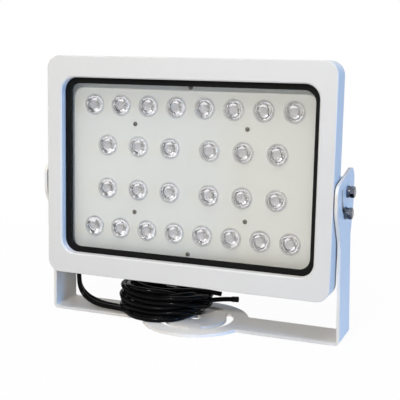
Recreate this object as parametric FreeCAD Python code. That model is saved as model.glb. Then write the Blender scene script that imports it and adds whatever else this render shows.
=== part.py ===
import FreeCAD, Part
import math
import os

from FreeCAD import Vector

# Security strobe light on a U-bracket, in millimetres.
# Row frame: origin at the centre of the base's bolt hole, on its underside.
# +X is to the right seen from the front, +Y runs from the glass to the fins, +Z is up.
# Head parts are drawn in the head's own frame: x right, y depth behind the bezel's face, z up,
# with its origin at the centre of that face. place_head() then sets them on the pivot.

# Tilt of the head
pivot_height = 146.5
pivot_depth = 38.0
pivot_drop = 10.8
rest_tilt = 1.9
tilt_up = 75.0
tilt_down = 8.0
lock_radius = 20.5
lock_angle = 20.0
slot_end_angle = 1.5

# Bracket
sheet = 3.0
strap_width = 42.0
ear_clearance = 1.2
leg_lean = 2.4
bend_radius = 2.0
kink_radius = 40.0
ear_foot = 48.5
ear_front = 38.0
ear_back = 29.0
ear_nose = 9.5
ear_apex = 24.3
ear_waist = 16.5
ear_waist_fillet = 22.0
nose_fillet = 10.0
apex_fillet = 14.0
base_diameter = 110.0
base_bolt_hole = 12.5
base_slots = 3
base_slot_radius = 36.0
base_slot_width = 7.5
base_slot_span = 90.0
base_bridge_angle = 21.0

# Bezel
bezel_width = 300.0
bezel_height = 222.7
bezel_corner = 13.5
bezel_depth = 25.0
bezel_wall = 5.0
lip_depth = 8.2
side_border = 16.25
end_border = 21.35
opening_corner = 14.5
opening_bevel = 1.2
face_edge = 1.0
rib_wall = 4.0

# Glass and its gasket
gasket_leg = 1.5
gasket_side_show = 5.45
gasket_end_show = 6.0
window_corner = 11.5
glass_thickness = 4.0
glass_overlap = 2.2
back_leg_overlap = 7.0
seat_clearance = 0.1
retainer_sheet = 1.5
retainer_overlap = 3.0

# Lamp panel, its lenses and board
plate_depth = 18.5
plate_sheet = 1.2
plate_gap = 0.5
plate_corner = 8.0
outer_row_margin = 21.2
outer_end_margin = 22.88
outer_count = 8
row_pitch = 40.8
inner_end_margin = 38.1
inner_gap = 42.2
inner_side_count = 3
lens_flange_diameter = 21.5
lens_flange = 1.2
lens_dome_diameter = 18.8
lens_face_diameter = 16.4
lens_dome = 1.4
lens_neck_diameter = 17.8
lens_foot_diameter = 8.4
lens_depth = 7.3
lens_hole_gap = 0.4
board_sheet = 1.6
emitter_gap = 0.2
emitter_side = 5.0
emitter_base = 0.8
emitter_dome = 1.7
emitter_dome_diameter = 4.0
board_side_gap = 7.7
board_end_gap = 3.8
board_corner = 4.0
face_screw_x = 59.4
face_screw_z = 44.8
edge_screw_inset = 3.8
edge_screw_rise = 71.2
end_screw_inset = 8.7

# Heat spreader
spreader_sheet = 3.0
standoff_diameter = 6.0
standoff_gap = 0.5
spreader_screw_inner_x = 45.0
spreader_screw_side = 19.0
spreader_screw_end = 7.5

# Rear housing
seal_sheet = 1.0
seal_inset = 0.6
flange_sheet = 4.0
flange_inset = 1.5
body_side_inset = 9.0
body_end_inset = 15.35
body_corner = 12.0
body_depth = 28.0
body_wall = 4.0
body_draft = 2.5
fin_count = 21
fin_side_margin = 21.0
fin_height = 16.0
fin_root = 3.4
fin_tip = 2.2
fin_end_margin = 8.0
fin_rake = 8.0
pad_front = 1.0
pad_back = 1.0
pad_rise = 12.8
pad_reach = 33.2
pad_corner = 9.0
pad_root = 6.0
ear_gap = 0.1

# Cable entry and gland
gland_side_inset = 13.2
gland_depth = 41.0
entry_width = 23.0
entry_length = 21.0
entry_end_inset = 6.35
entry_height = 22.0
gland_thread = 16.0
gland_hex = 19.0
gland_hex_height = 5.0
gland_nut_height = 11.0
gland_nut_diameter = 19.0
gland_mouth = 12.4
gland_seal_height = 6.0
thread_length = 8.0

# Driver electronics
driver_width = 150.0
driver_height = 110.0
driver_gap = 5.0
driver_sheet = 1.6
driver_screw_inset = 6.0
capacitor_diameter = 12.5
capacitor_length = 25.0
capacitor_count = 4
capacitor_pitch = 16.0
capacitor_side_inset = 23.0
capacitor_end_inset = 16.0
transformer_size = (28.0, 12.0, 24.0)
transformer_core = (20.0, 9.0, 30.0)
transformer_inset = 25.0
terminal_size = (30.0, 10.0, 9.0)
terminal_inset = 11.0
terminal_ways = 5
terminal_well = 3.6
terminal_well_depth = 2.5

# Fasteners: M6 for the tilt, M4 for the bezel, M3 inside
tilt_bolt = 6.0
tilt_bolt_flats = 10.0
tilt_bolt_head = 4.0
tilt_bolt_reach = 15.0
washer_diameter = 12.0
washer_sheet = 1.6
spring_washer_diameter = 10.6
spring_washer_sheet = 1.6
spring_washer_slit = 1.0
pivot_gap = 0.1
slot_gap = 0.3
bezel_screw = 4.0
bezel_screw_head = 7.0
bezel_screw_head_height = 2.6
bezel_screw_length = 14.0
bezel_screw_pitch = 56.0
bezel_screw_side_count = 5
bezel_boss = 8.0
bezel_screw_edge = 3.85
inner_screw = 3.0
inner_screw_head = 5.5
inner_screw_head_height = 1.8
plate_screw_head = 4.6
plate_screw_head_height = 1.2
retainer_screw_x = (-97.5, -32.5, 32.5, 97.5)
retainer_screw_length = 6.0
spreader_screw_length = 9.0
driver_screw_length = 5.0
plate_screw_length = 6.0
retainer_boss_gap = 0.5
screw_gap = 0.15
screw_end_gap = 1.0

# Leads: two flexible leads leave the gland side by side and lie in a loose coil on the base
lead_diameter = 5.0
lead_spacing = (1.35, 2.4)
lead_drop = 9.3
coil_centre = (-46.0, 4.0)
coil_outer = 43.0
coil_inner = 18.0
coil_lift = 0.3
coil_left_top = 35.0
coil_right_top = 24.0
coil_edge = 3.0
power_run = [(-133.0, -3.8, 18.2), (-126.6, -5.0, 11.0), (-116.5, -7.0, 7.3),
             (-105.0, -10.0, 5.9), (-92.5, -13.5, 5.7), (-80.5, -17.2, 6.2)]
sync_run = [(-135.6, 1.4, 18.6), (-127.9, 0.6, 11.6), (-116.4, -1.4, 7.9),
            (-103.6, -4.6, 6.3), (-91.1, -8.1, 6.1), (-78.6, -11.6, 6.4)]
power_tail = [(-14.0, 12.0, 20.0), (12.0, 20.0, 20.4), (36.0, 30.0, 17.9)]
sync_tail = [(-24.0, 18.0, 22.6), (-6.0, 19.5, 26.4), (20.6, 22.0, 25.2)]
sleeve_length = 7.0
sleeve_wall = 0.5


# Shapes shared by many pieces

def box(size, corner):
    return Part.makeBox(size[0], size[1], size[2], Vector(*corner))


def cylinder(diameter, length, start, axis):
    return Part.makeCylinder(diameter / 2, length, Vector(*start), Vector(*axis))


def face_rect(width, height, corner, depth):
    """Rounded rectangle across the depth axis, as a wire."""
    w = width / 2
    h = height / 2
    k = corner * (1 - math.sqrt(0.5))
    points = [(w, h - corner), (w - k, h - k), (w - corner, h),
              (corner - w, h), (k - w, h - k), (-w, h - corner),
              (-w, corner - h), (k - w, k - h), (corner - w, -h),
              (w - corner, -h), (w - k, k - h), (w, corner - h)]
    v = [Vector(x, depth, z) for x, z in points]
    edges = []
    for i in range(0, 12, 3):
        edges.append(Part.Arc(v[i], v[i + 1], v[i + 2]).toShape())
        edges.append(Part.LineSegment(v[i + 2], v[(i + 3) % 12]).toShape())
    return Part.Wire(edges)


def slab(width, height, corner, front, back):
    """Rounded plate from one depth to another."""
    face = Part.Face(face_rect(width, height, corner, front))
    return face.extrude(Vector(0, back - front, 0))


def drafted_slab(width, height, corner, front, back, draft):
    """Rounded block that is narrower by draft on each side at its back."""
    near = face_rect(width, height, corner, front)
    far = face_rect(width - 2 * draft, height - 2 * draft, corner - draft / 2, back)
    return Part.makeLoft([near, far], True)


def rounded_face(points, normal_axis, level):
    """Planar face from corner points (a, b, fillet), with round corners as arcs."""

    def lift(a, b):
        return Vector(level, a, b) if normal_axis == "x" else Vector(a, b, level)

    count = len(points)
    starts = []
    ends = []
    middles = []
    for i in range(count):
        here = Vector(points[i][0], points[i][1], 0)
        before = Vector(points[i - 1][0], points[i - 1][1], 0)
        after = Vector(points[(i + 1) % count][0], points[(i + 1) % count][1], 0)
        back = (before - here).normalize()
        on = (after - here).normalize()
        half = back.getAngle(on) / 2
        reach = points[i][2] / math.tan(half)
        bisector = (back + on).normalize() if points[i][2] else Vector(0, 0, 0)
        starts.append(here + back * reach)
        ends.append(here + on * reach)
        middles.append(here + bisector * (points[i][2] / math.sin(half) - points[i][2]))
    edges = []
    for i in range(count):
        if points[i][2]:
            arc = [lift(p.x, p.y) for p in (starts[i], middles[i], ends[i])]
            edges.append(Part.Arc(*arc).toShape())
        near = lift(ends[i].x, ends[i].y)
        far = lift(starts[(i + 1) % count].x, starts[(i + 1) % count].y)
        if near.distanceToPoint(far) > 1e-6:
            edges.append(Part.LineSegment(near, far).toShape())
    return Part.Face(Part.Wire(edges))


def hexagon(flats, height, start, axis_x, turn):
    """Hexagonal prism along X (axis_x) or Z, from its start point."""
    corner = flats / math.sqrt(3)
    points = []
    for i in range(7):
        a = math.radians(60 * i + turn)
        c = corner * math.cos(a)
        s = corner * math.sin(a)
        points.append(Vector(*start) + (Vector(0, c, s) if axis_x else Vector(c, s, 0)))
    direction = Vector(height, 0, 0) if axis_x else Vector(0, 0, height)
    return Part.Face(Part.makePolygon(points)).extrude(direction)


def place_head(shape):
    """From the head's frame to the row frame, tilted back to its rest pose."""
    placed = shape.copy()
    placed.rotate(Vector(0, pivot_depth, -pivot_drop), Vector(1, 0, 0), -rest_tilt)
    placed.translate(Vector(0, -pivot_depth, pivot_drop + pivot_height))
    return placed


def head_point(x, y, z):
    return place_head(Part.Vertex(x, y, z)).Point


def group(solids):
    return Part.makeCompound(solids)


# Places that several pieces share

ear_inner = bezel_width / 2 + ear_clearance
ear_x = ear_inner + sheet
leg_foot_x = ear_x + leg_lean
ear_foot_z = pivot_height - ear_foot
ear_nose_z = pivot_height + ear_nose
ear_apex_z = pivot_height + ear_apex
ear_waist_z = pivot_height - ear_waist
opening_width = bezel_width - 2 * side_border
opening_height = bezel_height - 2 * end_border
window_width = opening_width - 2 * gasket_side_show
window_height = opening_height - 2 * gasket_end_show
outer_pitch = (window_width - 2 * outer_end_margin) / (outer_count - 1)
inner_pitch = (window_width / 2 - inner_end_margin - inner_gap / 2) / (inner_side_count - 1)
outer_row_z = window_height / 2 - outer_row_margin
inner_row_z = outer_row_z - row_pitch
glass_width = opening_width + 2 * glass_overlap
glass_height = opening_height + 2 * glass_overlap
glass_corner = opening_corner + glass_overlap
gasket_width = glass_width + 2 * gasket_leg
gasket_height = glass_height + 2 * gasket_leg
gasket_corner = glass_corner + gasket_leg
glass_front = lip_depth + gasket_leg
glass_back = glass_front + glass_thickness
gasket_back = glass_back + gasket_leg
retainer_back = gasket_back + retainer_sheet
skirt_width = bezel_width - 2 * bezel_wall
skirt_height = bezel_height - 2 * bezel_wall
skirt_corner = bezel_corner - bezel_wall
rib_width = gasket_width + 2 * seat_clearance
rib_height = gasket_height + 2 * seat_clearance
rib_corner = gasket_corner + seat_clearance
plate_back = plate_depth + plate_sheet
lens_back = plate_depth + lens_depth
board_front = lens_back + emitter_gap + emitter_base + emitter_dome
board_back = board_front + board_sheet
spreader_back = board_back + spreader_sheet
flange_front = bezel_depth + seal_sheet
flange_back = flange_front + flange_sheet
body_back = flange_back + body_depth
floor_front = body_back - body_wall
body_width = bezel_width - 2 * body_side_inset
body_height = bezel_height - 2 * body_end_inset
cavity_width = body_width - 2 * body_wall
cavity_height = body_height - 2 * body_wall
fin_pitch = (body_width - 2 * fin_side_margin) / (fin_count - 1)
plate_width = cavity_width - 2 * plate_gap
plate_height = cavity_height - 2 * plate_gap
edge_screw_x = plate_width / 2 - edge_screw_inset
end_screw_z = plate_height / 2 - end_screw_inset
board_width = 2 * edge_screw_x - standoff_diameter - 2 * board_side_gap
board_height = 2 * end_screw_z - standoff_diameter - 2 * board_end_gap
flange_width = bezel_width - 2 * flange_inset
flange_height = bezel_height - 2 * flange_inset
driver_back = floor_front - driver_gap
driver_front = driver_back - driver_sheet
gland_x = gland_side_inset - bezel_width / 2
entry_bottom = entry_end_inset - bezel_height / 2
bezel_screw_z = skirt_height / 2 - bezel_screw_edge
lock_turn = math.radians(lock_angle - rest_tilt)
lock_y = pivot_depth - lock_radius * math.sin(lock_turn)
lock_z = -pivot_drop - lock_radius * math.cos(lock_turn)
bolt_face = ear_x + ear_gap
face_screws = [(x, z) for x in (-face_screw_x, face_screw_x) for z in (-face_screw_z, face_screw_z)]
edge_screws = [(x, z) for x in (-edge_screw_x, edge_screw_x) for z in (-edge_screw_rise, 0, edge_screw_rise)]
end_screws = [(0, -end_screw_z), (0, end_screw_z)]
plate_screws_at = face_screws + edge_screws + end_screws
spreader_screw_x = cavity_width / 2 - spreader_screw_side
spreader_screw_z = cavity_height / 2 - spreader_screw_end
spreader_screws_at = [(x, z) for x in (-spreader_screw_x, -spreader_screw_inner_x,
                                       spreader_screw_inner_x, spreader_screw_x)
                      for z in (-spreader_screw_z, spreader_screw_z)]
driver_screw_x = driver_width / 2 - driver_screw_inset
driver_screw_z = driver_height / 2 - driver_screw_inset
driver_screws_at = [(x, z) for x in (-driver_screw_x, driver_screw_x)
                    for z in (-driver_screw_z, driver_screw_z)]
retainer_screws_at = [(x, z) for x in retainer_screw_x for z in (-bezel_screw_z, bezel_screw_z)]
bezel_screws_at = [((i - (bezel_screw_side_count - 1) / 2) * bezel_screw_pitch, z)
                   for i in range(bezel_screw_side_count) for z in (-bezel_screw_z, bezel_screw_z)]


def lens_places():
    """Centres of the lenses, row by row from the top, left to right."""
    outer = [(i - (outer_count - 1) / 2) * outer_pitch for i in range(outer_count)]
    right = [inner_gap / 2 + i * inner_pitch for i in range(inner_side_count)]
    inner = [-x for x in reversed(right)] + right
    rows = [(outer_row_z, outer), (inner_row_z, inner), (-inner_row_z, inner), (-outer_row_z, outer)]
    return [(x, z) for z, row in rows for x in row]


# Bracket

def leg_profile():
    """Bent sheet seen from the front: base strap, two legs that lean in, and upright ears."""
    lean = math.atan2(leg_foot_x - ear_x, ear_foot_z)
    half_kink = sheet * math.tan(lean / 2)
    foot_shift = sheet / math.cos(lean)
    inner_foot_x = leg_foot_x - foot_shift - sheet * math.tan(lean)
    outer = [(leg_foot_x, 0.0, bend_radius + sheet), (ear_x, ear_foot_z, kink_radius),
             (ear_x, ear_apex_z, 0.0)]
    inner = [(ear_x - sheet, ear_apex_z, 0.0), (ear_x - sheet, ear_foot_z - half_kink, kink_radius + sheet),
             (inner_foot_x, sheet, bend_radius)]
    right = outer + inner
    left = [(-x, z, r) for x, z, r in reversed(right)]
    return right + left


def bent_sheet():
    """The whole profile drawn out along Y, as wide as the ears."""
    face = rounded_face(leg_profile(), "z", 0.0)
    solid = face.extrude(Vector(0, 0, ear_front + ear_back))
    solid.rotate(Vector(0, 0, 0), Vector(1, 0, 0), 90)
    solid.translate(Vector(0, ear_back, 0))
    return solid


def leg_outline():
    """Side view of a leg: narrow strap below, wide ear with a sloping top above."""
    half = strap_width / 2
    points = [(-half, -1.0, 0.0), (-half, ear_foot_z + 2, ear_waist_fillet),
              (-ear_front, ear_waist_z, ear_waist_fillet), (-ear_front, ear_nose_z, nose_fillet),
              (ear_back, ear_apex_z, apex_fillet), (ear_back, ear_waist_z, ear_waist_fillet),
              (half, ear_foot_z + 4, ear_waist_fillet), (half, -1.0, 0.0)]
    span = 2 * leg_foot_x + 2
    return rounded_face(points, "x", -span / 2).extrude(Vector(span, 0, 0))


def arc_slot(radius, width, start, end, level, depth, axis_x):
    """Slot that follows an arc, with round ends. Angles are from straight down or from the front."""
    cuts = []
    at = []
    for angle in (start, (start + end) / 2, end):
        a = math.radians(angle)
        for r in (radius - width / 2, radius, radius + width / 2):
            across = -r * math.sin(a) if axis_x else r * math.sin(a)
            at.append((across, -r * math.cos(a)))
    if axis_x:
        v = [Vector(level, y, z) for y, z in at]
        way = Vector(depth, 0, 0)
    else:
        v = [Vector(x, y, level) for x, y in at]
        way = Vector(0, 0, depth)
    edges = [Part.Arc(v[0], v[3], v[6]).toShape(), Part.LineSegment(v[6], v[8]).toShape(),
             Part.Arc(v[8], v[5], v[2]).toShape(), Part.LineSegment(v[2], v[0]).toShape()]
    cuts.append(Part.Face(Part.Wire(edges)).extrude(way))
    for centre in (v[1], v[7]):
        cuts.append(Part.makeCylinder(width / 2, depth, centre, way))
    return cuts[0].fuse(cuts[1:]).removeSplitter()


def make_bracket():
    body = bent_sheet().common(leg_outline())
    body = body.fuse(cylinder(base_diameter, sheet, (0, 0, 0), (0, 0, 1))).removeSplitter()
    cuts = [cylinder(base_bolt_hole, sheet + 2, (0, 0, -1), (0, 0, 1))]
    pitch = 360.0 / base_slots
    bridge = (pitch - base_slot_span) / 2
    for i in range(base_slots):
        start = base_bridge_angle + bridge + i * pitch
        cuts.append(arc_slot(base_slot_radius, base_slot_width, start, start + base_slot_span,
                             -1.0, sheet + 2, False))
    for side in (-1, 1):
        inner = side * (ear_x + 1) if side < 0 else ear_x - sheet - 1
        hole = cylinder(tilt_bolt + 2 * pivot_gap, sheet + 2, (inner, 0, pivot_height), (1, 0, 0))
        slot = arc_slot(lock_radius, tilt_bolt + 2 * slot_gap, lock_angle - tilt_down - slot_end_angle,
                        lock_angle + tilt_up + slot_end_angle, inner, sheet + 2, True)
        slot.translate(Vector(0, 0, pivot_height))
        cuts += [hole, slot]
    return body.cut(cuts)


# Bezel, glass and gasket

def make_bezel():
    shell = slab(bezel_width, bezel_height, bezel_corner, 0, bezel_depth)
    front = [e for e in shell.Edges if e.BoundBox.YMax < 0.01]
    shell = shell.makeFillet(face_edge, front)
    hollow = slab(skirt_width, skirt_height, skirt_corner, lip_depth, bezel_depth + 1)
    rib = slab(rib_width + 2 * rib_wall, rib_height + 2 * rib_wall, rib_corner + rib_wall,
               lip_depth, gasket_back)
    shell = shell.cut(hollow).fuse(rib)
    bosses = [cylinder(bezel_boss, gasket_back - lip_depth, (x, lip_depth, z), (0, 1, 0))
              for x, z in retainer_screws_at]
    bosses += [cylinder(bezel_boss, bezel_depth - lip_depth, (x, lip_depth, z), (0, 1, 0))
               for x, z in bezel_screws_at]
    shell = shell.fuse(bosses)
    cuts = [slab(rib_width, rib_height, rib_corner, lip_depth, gasket_back + 1),
            slab(opening_width, opening_height, opening_corner, -1, lip_depth + 1)]
    bevel_near = face_rect(opening_width + 2 * opening_bevel, opening_height + 2 * opening_bevel,
                           opening_corner + opening_bevel, 0)
    bevel_far = face_rect(opening_width, opening_height, opening_corner, opening_bevel)
    cuts.append(Part.makeLoft([bevel_near, bevel_far], True))
    retainer_hole = retainer_screw_length - retainer_sheet + screw_end_gap
    bezel_hole = bezel_screw_length - flange_sheet - seal_sheet + screw_end_gap
    cuts += [cylinder(inner_screw + 2 * screw_gap, retainer_hole, (x, gasket_back, z), (0, -1, 0))
             for x, z in retainer_screws_at]
    cuts += [cylinder(bezel_screw + 2 * screw_gap, bezel_hole, (x, bezel_depth, z), (0, -1, 0))
             for x, z in bezel_screws_at]
    return shell.cut(cuts).removeSplitter()


def make_gasket():
    """U-section ring that wraps the edge of the glass and shows as a black border."""
    ring = slab(gasket_width, gasket_height, gasket_corner, lip_depth, gasket_back)
    window = slab(window_width, window_height, window_corner, lip_depth - 1, glass_front)
    groove = slab(glass_width, glass_height, glass_corner, glass_front, glass_back)
    inner_corner = glass_corner - back_leg_overlap
    rear = slab(glass_width - 2 * back_leg_overlap, glass_height - 2 * back_leg_overlap, inner_corner,
                glass_back, gasket_back + 1)
    return ring.cut([window, groove, rear])


def make_glass():
    return slab(glass_width, glass_height, glass_corner, glass_front, glass_back)


def make_retainer():
    """Sheet frame that presses the glass and its gasket into the bezel."""
    outer = slab(skirt_width - 2, skirt_height - 2, skirt_corner - 1, gasket_back, retainer_back)
    inner = slab(gasket_width - 2 * retainer_overlap, gasket_height - 2 * retainer_overlap,
                 gasket_corner - retainer_overlap, gasket_back - 1, retainer_back + 1)
    cuts = [inner]
    through = retainer_sheet + 2
    cuts += [cylinder(inner_screw + 2 * screw_gap, through, (x, gasket_back - 1, z), (0, 1, 0))
             for x, z in retainer_screws_at]
    cuts += [cylinder(bezel_boss + 2 * retainer_boss_gap, through, (x, gasket_back - 1, z), (0, 1, 0))
             for x, z in bezel_screws_at]
    return outer.cut(cuts)


# Lamp panel

def make_led_plate():
    plate = slab(plate_width, plate_height, plate_corner, plate_depth, plate_back)
    holes = [cylinder(lens_neck_diameter + 2 * lens_hole_gap, plate_sheet + 2, (x, plate_depth - 1, z),
                      (0, 1, 0)) for x, z in lens_places()]
    holes += [cylinder(inner_screw + 2 * screw_gap, plate_sheet + 2, (x, plate_depth - 1, z), (0, 1, 0))
              for x, z in plate_screws_at]
    return plate.cut(holes)


def make_lens(x, z):
    """Clear collimator: flange on the plate, shallow dome in front, cone down to the emitter."""
    flange_face = plate_depth - lens_flange
    half = [(0, flange_face - lens_dome), (lens_face_diameter / 2, flange_face - lens_dome),
            (lens_dome_diameter / 2, flange_face), (lens_flange_diameter / 2, flange_face),
            (lens_flange_diameter / 2, plate_depth), (lens_neck_diameter / 2, plate_depth),
            (lens_foot_diameter / 2, lens_back), (0, lens_back)]
    profile = Part.Face(Part.makePolygon([Vector(r, y, 0) for r, y in half + half[:1]]))
    lens = profile.revolve(Vector(0, 0, 0), Vector(0, 1, 0), 360)
    lens.translate(Vector(x, 0, z))
    return lens


def make_led_board():
    board = slab(board_width, board_height, board_corner, board_front, board_back)
    holes = [cylinder(standoff_diameter + 2 * standoff_gap, board_sheet + 2, (x, board_front - 1, z),
                      (0, 1, 0)) for x, z in face_screws]
    return board.cut(holes)


def make_emitters():
    solids = []
    half = emitter_side / 2
    for x, z in lens_places():
        foot = board_front - emitter_base
        base = box((emitter_side, emitter_base, emitter_side), (x - half, foot, z - half))
        top = foot - emitter_dome
        dome = cylinder(emitter_dome_diameter, emitter_dome, (x, top, z), (0, 1, 0))
        solids.append(base.fuse(dome))
    return group(solids)


def make_heat_spreader():
    """Aluminium plate behind the board, with pressed-in standoffs that carry the lamp panel."""
    plate = slab(plate_width, plate_height, plate_corner, board_back, spreader_back)
    posts = [cylinder(standoff_diameter, board_back - plate_back, (x, plate_back, z), (0, 1, 0))
             for x, z in plate_screws_at]
    plate_hole = plate_screw_length - plate_sheet + screw_end_gap
    cuts = [cylinder(inner_screw + 2 * screw_gap, plate_hole, (x, plate_back, z), (0, 1, 0))
            for x, z in plate_screws_at]
    cuts += [cylinder(inner_screw + 2 * screw_gap, spreader_sheet + 2, (x, board_back - 1, z), (0, 1, 0))
             for x, z in spreader_screws_at]
    return plate.fuse(posts).cut(cuts)


# Rear housing

def fin(x):
    """Tapered fin with raked ends, drawn in side view and thinned towards its tip."""
    root = body_height / 2 - fin_end_margin
    tip = root - fin_rake
    back = body_back + fin_height

    def section(z, z_tip):
        points = [Vector(x - fin_root / 2, body_back, z), Vector(x + fin_root / 2, body_back, z),
                  Vector(x + fin_tip / 2, back, z_tip), Vector(x - fin_tip / 2, back, z_tip)]
        return Part.makePolygon(points + points[:1])

    return Part.makeLoft([section(-root, -tip), section(root, tip)], True, True)


def side_pad(side):
    """Flat boss on the housing's flank that the ear clamps against."""
    face = ear_inner - ear_gap
    near = flange_back + pad_front
    far = body_back - pad_back
    top = pad_rise - pivot_drop
    bottom = -pad_reach - pivot_drop
    points = [(near, bottom, pad_corner), (near, top, pad_corner),
              (far, top, pad_corner), (far, bottom, pad_corner)]
    root = body_width / 2 - pad_root
    level = root if side > 0 else -face
    return rounded_face(points, "x", level).extrude(Vector(face - root, 0, 0))


def make_rear_housing():
    flange = slab(flange_width, flange_height, bezel_corner - flange_inset, flange_front, flange_back)
    body = drafted_slab(body_width, body_height, body_corner, flange_back, body_back, body_draft)
    entry = box((entry_width, entry_length, entry_height),
                (gland_x - entry_width / 2, flange_back, entry_bottom))
    housing = flange.fuse([body, entry, side_pad(-1), side_pad(1)])
    front_cavity = slab(cavity_width, cavity_height, body_corner - body_wall, flange_front - 1, flange_back)
    rear_cavity = drafted_slab(cavity_width, cavity_height, body_corner - body_wall, flange_back,
                               floor_front, body_draft)
    housing = housing.cut(front_cavity.fuse(rear_cavity))
    posts = [cylinder(bezel_boss, floor_front - spreader_back + 1, (x, spreader_back, z), (0, 1, 0))
             for x, z in spreader_screws_at]
    posts += [cylinder(standoff_diameter, driver_gap + 1, (x, driver_back, z), (0, 1, 0))
              for x, z in driver_screws_at]
    fins = [fin((i - (fin_count - 1) / 2) * fin_pitch) for i in range(fin_count)]
    housing = housing.fuse(posts + fins)
    spreader_hole = spreader_screw_length - spreader_sheet + screw_end_gap
    cuts = [cylinder(inner_screw + 2 * screw_gap, spreader_hole, (x, spreader_back, z), (0, 1, 0))
            for x, z in spreader_screws_at]
    driver_hole = driver_screw_length - driver_sheet + screw_end_gap
    cuts += [cylinder(inner_screw + 2 * screw_gap, driver_hole, (x, driver_back, z), (0, 1, 0))
             for x, z in driver_screws_at]
    cuts += [cylinder(bezel_screw + 2 * screw_gap, flange_sheet + 2, (x, flange_front - 1, z), (0, 1, 0))
             for x, z in bezel_screws_at]
    cuts.append(cylinder(gland_thread + 2 * screw_gap, entry_height, (gland_x, gland_depth, entry_bottom - 1),
                         (0, 0, 1)))
    for side in (-1, 1):
        for y, z in ((pivot_depth, -pivot_drop), (lock_y, lock_z)):
            reach = tilt_bolt_reach - sheet - washer_sheet - spring_washer_sheet
            cuts.append(cylinder(tilt_bolt + 2 * screw_gap, reach + screw_end_gap, (side * ear_inner, y, z),
                                 (-side, 0, 0)))
    return housing.cut(cuts).removeSplitter()


def make_housing_seal():
    width = flange_width - 2 * seal_inset
    height = flange_height - 2 * seal_inset
    corner = bezel_corner - flange_inset - seal_inset
    band = bezel_wall - flange_inset - seal_inset
    ring = slab(width, height, corner, bezel_depth, flange_front)
    inner = slab(width - 2 * band, height - 2 * band, corner - band, bezel_depth - 1, flange_front + 1)
    return ring.cut(inner)


# Cable gland

def make_gland_body():
    """Threaded stub in the housing, a hexagon outside it and a collar inside the nut."""
    stub = cylinder(gland_thread, thread_length, (gland_x, gland_depth, entry_bottom), (0, 0, 1))
    nut = hexagon(gland_hex, gland_hex_height, (gland_x, gland_depth, entry_bottom - gland_hex_height),
                  False, 30)
    bore = cylinder(gland_mouth, thread_length + gland_hex_height + 2,
                    (gland_x, gland_depth, entry_bottom - gland_hex_height - 1), (0, 0, 1))
    return stub.fuse(nut).cut(bore)


gland_low = entry_bottom - gland_hex_height - gland_nut_height


def make_gland_nut():
    """Domed clamping nut with flats."""
    dome = cylinder(gland_nut_diameter, gland_nut_height, (gland_x, gland_depth, gland_low), (0, 0, 1))
    rim = [e for e in dome.Edges if e.BoundBox.ZMax < gland_low + 0.01]
    dome = dome.makeFillet(gland_nut_height / 4, rim)
    grip = hexagon(gland_hex - 1, gland_nut_height, (gland_x, gland_depth, gland_low), False, 30)
    bore = cylinder(gland_mouth, gland_nut_height + 2, (gland_x, gland_depth, gland_low - 1), (0, 0, 1))
    return dome.common(grip).cut(bore)


def make_gland_seal():
    """Rubber insert in the nut's mouth that both leads pass."""
    return cylinder(gland_mouth, gland_seal_height, (gland_x, gland_depth, gland_low), (0, 0, 1))


# Driver electronics

def make_driver_board():
    board = slab(driver_width, driver_height, board_corner, driver_front, driver_back)
    return board.cut([cylinder(inner_screw + 2 * screw_gap, driver_sheet + 2, (x, driver_front - 1, z),
                               (0, 1, 0)) for x, z in driver_screws_at])


def make_capacitors():
    depth = driver_front - capacitor_diameter / 2
    first = capacitor_side_inset - driver_width / 2
    foot = driver_height / 2 - capacitor_end_inset - capacitor_length
    return group([cylinder(capacitor_diameter, capacitor_length,
                           (first + i * capacitor_pitch, depth, foot), (0, 0, 1))
                  for i in range(capacitor_count)])


def make_transformer():
    w, h, d = transformer_size
    x = driver_width / 2 - transformer_inset - w
    coil = box(transformer_size, (x, driver_front - h, -d / 2))
    cw, ch, cd = transformer_core
    core = box(transformer_core, (x + (w - cw) / 2, driver_front - ch - (h - ch) / 2, -cd / 2))
    return coil.fuse(core)


def make_terminal_block():
    w, h, d = terminal_size
    x = terminal_inset - driver_width / 2
    z = terminal_inset - driver_height / 2
    block = box(terminal_size, (x, driver_front - h, z))
    step = w / terminal_ways
    wells = [cylinder(terminal_well, terminal_well_depth, (x + (i + 0.5) * step, driver_front - h, z + d / 2),
                      (0, 1, 0)) for i in range(terminal_ways)]
    return block.cut(wells)


# Fasteners

def pan_screw(x, z, head_face, head, thread, length, turned):
    """Round-headed screw along the depth axis; turned screws are driven from behind."""
    way = -1 if turned else 1
    width, height = head
    top = cylinder(width, height, (x, head_face - way * height, z), (0, way, 0))
    shank = cylinder(thread, length, (x, head_face, z), (0, way, 0))
    return top.fuse(shank)


def make_inner_screws():
    """M3 screws of the retainer, the spreader and the driver board."""
    head = (inner_screw_head, inner_screw_head_height)
    solids = [pan_screw(x, z, retainer_back, head, inner_screw, retainer_screw_length, True)
              for x, z in retainer_screws_at]
    solids += [pan_screw(x, z, board_back, head, inner_screw, spreader_screw_length, False)
               for x, z in spreader_screws_at]
    solids += [pan_screw(x, z, driver_front, head, inner_screw, driver_screw_length, False)
               for x, z in driver_screws_at]
    return group(solids)


def make_plate_screws():
    head = (plate_screw_head, plate_screw_head_height)
    return group([pan_screw(x, z, plate_depth, head, inner_screw, plate_screw_length, False)
                  for x, z in plate_screws_at])


def make_bezel_screws():
    head = (bezel_screw_head, bezel_screw_head_height)
    return group([pan_screw(x, z, flange_back, head, bezel_screw, bezel_screw_length, True)
                  for x, z in bezel_screws_at])


def tilt_bolt_solid(side, y, z):
    """Hexagon bolt with its spring washer and flat washer left out, threaded into the side pad."""
    under_head = bolt_face + washer_sheet + spring_washer_sheet
    start = side * under_head
    if side > 0:
        head = hexagon(tilt_bolt_flats, tilt_bolt_head, (start, y, z), True, 0)
    else:
        head = hexagon(tilt_bolt_flats, tilt_bolt_head, (start - tilt_bolt_head, y, z), True, 0)
    shank = cylinder(tilt_bolt, tilt_bolt_reach, (start, y, z), (-side, 0, 0))
    return head.fuse(shank)


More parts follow.
